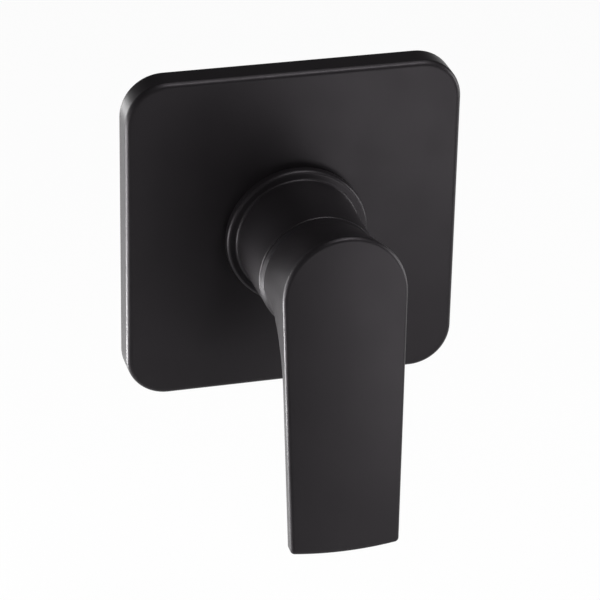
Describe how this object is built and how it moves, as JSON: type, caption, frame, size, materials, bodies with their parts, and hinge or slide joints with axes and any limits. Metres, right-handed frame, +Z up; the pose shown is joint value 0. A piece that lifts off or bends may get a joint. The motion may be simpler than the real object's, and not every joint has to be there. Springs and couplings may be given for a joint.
{
  "type": "concealed single lever shower mixer",
  "caption": "Wall-mounted single lever shower mixer: square satin black cover plate, flanged sleeve and flat tapered lever, on a brass in-wall valve body with a ceramic disc cartridge.",
  "frame": {"origin": "on the mixer's axis, in the plane of the finished wall, which is the back of the cover plate", "axes": "+Z up, +Y into the wall along the mixer's axis, the lever hangs in front on the -Y side, +X to the user's right"},
  "size_m": [0.12, 0.1199, 0.1473],
  "materials": {
    "satin_black": "satin black coating on cast and pressed metal",
    "foam": "closed cell foam, matt",
    "seal_rubber": "smooth sealing rubber",
    "brass": "cast and machined brass",
    "cartridge_white": "moulded acetal",
    "cartridge_grey": "moulded acetal",
    "ceramic": "lapped alumina",
    "steel": "plain stainless steel",
    "plug_black": "moulded plastic, satin"
  },
  "bodies": {
    "root": {"mixer_body": "brass", "outlet_plug": "brass", "outlet_plug_seal": "seal_rubber", "cover_plate": "satin_black", "wall_gasket": "foam", "plate_seal": "seal_rubber", "collar_sleeve": "satin_black", "neck_o_rings": "seal_rubber", "retaining_nut": "brass", "cartridge_housing": "cartridge_white", "cartridge_base": "cartridge_white", "base_seals": "seal_rubber", "disc_seals": "seal_rubber", "fixed_disc": "ceramic"},
    "swivel": {"swivel_guide": "cartridge_grey", "pivot_pin": "steel", "guide_o_ring": "seal_rubber"},
    "lever": {"stem": "brass", "handle": "satin_black", "grub_screw": "steel", "screw_plug": "plug_black"},
    "slider": {"disc_carrier": "cartridge_grey", "moving_disc": "ceramic"}
  },
  "joints": [
    {"name": "temperature_swing", "type": "hinge", "parent": "root", "child": "swivel", "pos_m": [0, -0.0279, 0], "axis": [0, -1, 0], "range_deg": [-45, 45]},
    {"name": "flow_lift", "type": "hinge", "parent": "swivel", "child": "lever", "pos_m": [0, -0.0279, 0], "axis": [-1, 0, 0], "range_deg": [0, 25]},
    {"name": "disc_slide", "type": "slide", "parent": "swivel", "child": "slider", "axis": [0, 0, -1], "range_m": [0, 0.0043]}
  ],
  "couplings": [
    {"joint": "disc_slide", "follows": "flow_lift", "m_per_rad": 0.00969}
  ]
}
